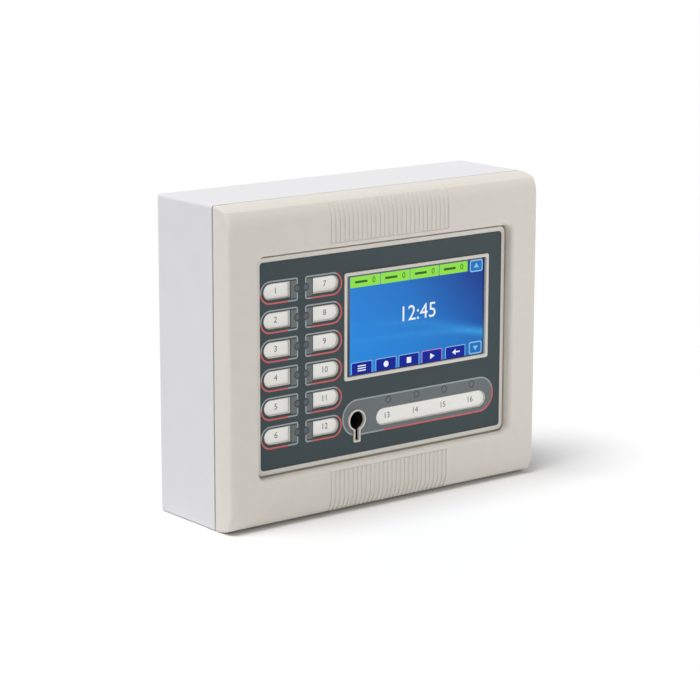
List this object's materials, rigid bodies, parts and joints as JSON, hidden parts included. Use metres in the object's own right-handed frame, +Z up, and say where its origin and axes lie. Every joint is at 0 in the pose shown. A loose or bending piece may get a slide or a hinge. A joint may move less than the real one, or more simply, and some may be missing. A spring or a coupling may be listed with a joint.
{
  "type": "fire alarm control panel",
  "caption": "Wall-mounted fire alarm control panel: steel back box, hinged moulded cover with touch screen, label windows, indicator lamps and key switch.",
  "frame": {"origin": "centre of the back face, on the wall", "axes": "+X to the right seen from the front, +Y into the wall, +Z up"},
  "size_m": [0.2152, 0.065, 0.174],
  "materials": {
    "powder_coat": "satin powder coat",
    "cover_plastic": "fine moulded texture",
    "overlay_print": "satin printed film",
    "window_film": "clear film",
    "label_card": "matt card",
    "touch_glass": "gloss",
    "display_metal": "satin",
    "lamp_plastic": "diffused",
    "circuit_board": "solder mask",
    "black_plastic": "moulded",
    "rubber_black": "matt",
    "zinc_steel": "zinc plated",
    "brass_metal": "turned",
    "terminal_green": "moulded",
    "terminal_grey": "moulded",
    "fuse_glass": "clear with plated caps",
    "relay_blue": "moulded",
    "battery_case": "moulded",
    "socket_white": "moulded",
    "lead_red": "flexible insulation",
    "ribbon_grey": "flexible insulation",
    "button_red": "moulded"
  },
  "bodies": {
    "enclosure": {"box_back": "powder_coat", "box_ends": "powder_coat", "box_sides": "powder_coat", "cable_grommets": "rubber_black", "earth_stud": "brass_metal", "earth_nuts": "brass_metal", "hinge_brackets": "zinc_steel", "hinge_pins": "zinc_steel", "board_standoffs": "brass_metal", "main_board": "circuit_board", "board_screws": "zinc_steel", "field_terminals": "terminal_green", "terminal_screws": "zinc_steel", "mains_terminal": "terminal_grey", "fuse_holder": "black_plastic", "mains_fuse": "fuse_glass", "supply_module": "black_plastic", "relays": "relay_blue", "capacitors": "relay_blue", "board_chips": "black_plastic", "clock_cell_holder": "black_plastic", "clock_cell": "zinc_steel", "option_card": "circuit_board", "card_sockets": "black_plastic", "ribbon_header": "black_plastic", "battery_socket": "socket_white", "reset_switch": "black_plastic", "standby_battery_left": "battery_case", "standby_battery_right": "battery_case", "battery_tabs": "zinc_steel", "battery_shelf": "powder_coat", "battery_strap": "powder_coat", "strap_screws": "zinc_steel", "battery_leads": "lead_red", "ribbon_cable": "ribbon_grey"},
    "cover": {"front_cover": "cover_plastic", "cover_inserts": "brass_metal", "cover_screws": "zinc_steel", "hinge_arms": "zinc_steel", "arm_screws": "zinc_steel", "fascia_carrier": "cover_plastic", "key_housing": "cover_plastic", "carrier_screws": "zinc_steel", "overlay_film": "overlay_print", "label_windows": "window_film", "label_cards": "label_card", "touch_panel": "touch_glass", "display_module": "display_metal", "display_board": "circuit_board", "display_screws": "zinc_steel", "indicator_lamps": "lamp_plastic", "display_chips": "black_plastic", "display_header": "black_plastic", "sounder": "black_plastic", "key_retainer": "black_plastic", "key_switch": "black_plastic"},
    "key": {"key_rotor": "black_plastic", "key_cam": "socket_white"},
    "rod": {"switch_rod": "button_red"},
    "reset": {"reset_button": "button_red"}
  },
  "joints": [
    {"name": "cover_hinge", "type": "hinge", "parent": "enclosure", "child": "cover", "pos_m": [-0.10025, -0.0375, 0], "axis": [0, 0, -1], "range_deg": [0, 95], "deforming": ["ribbon_cable"]},
    {"name": "key_turn", "type": "hinge", "parent": "cover", "child": "key", "pos_m": [-0.0194, -0.055, -0.0375], "axis": [0, 1, 0], "range_deg": [0, 90]},
    {"name": "rod_slide", "type": "slide", "parent": "cover", "child": "rod", "axis": [1, 0, 0], "range_m": [0, 0.0008]},
    {"name": "reset_press", "type": "slide", "parent": "enclosure", "child": "reset", "axis": [0, 1, 0], "range_m": [0, 0.0005], "stiffness_N_per_m": 300, "springref_m": -0.0005}
  ],
  "couplings": [
    {"joint": "rod_slide", "follows": "key_turn", "m_per_rad": 0.000509}
  ]
}
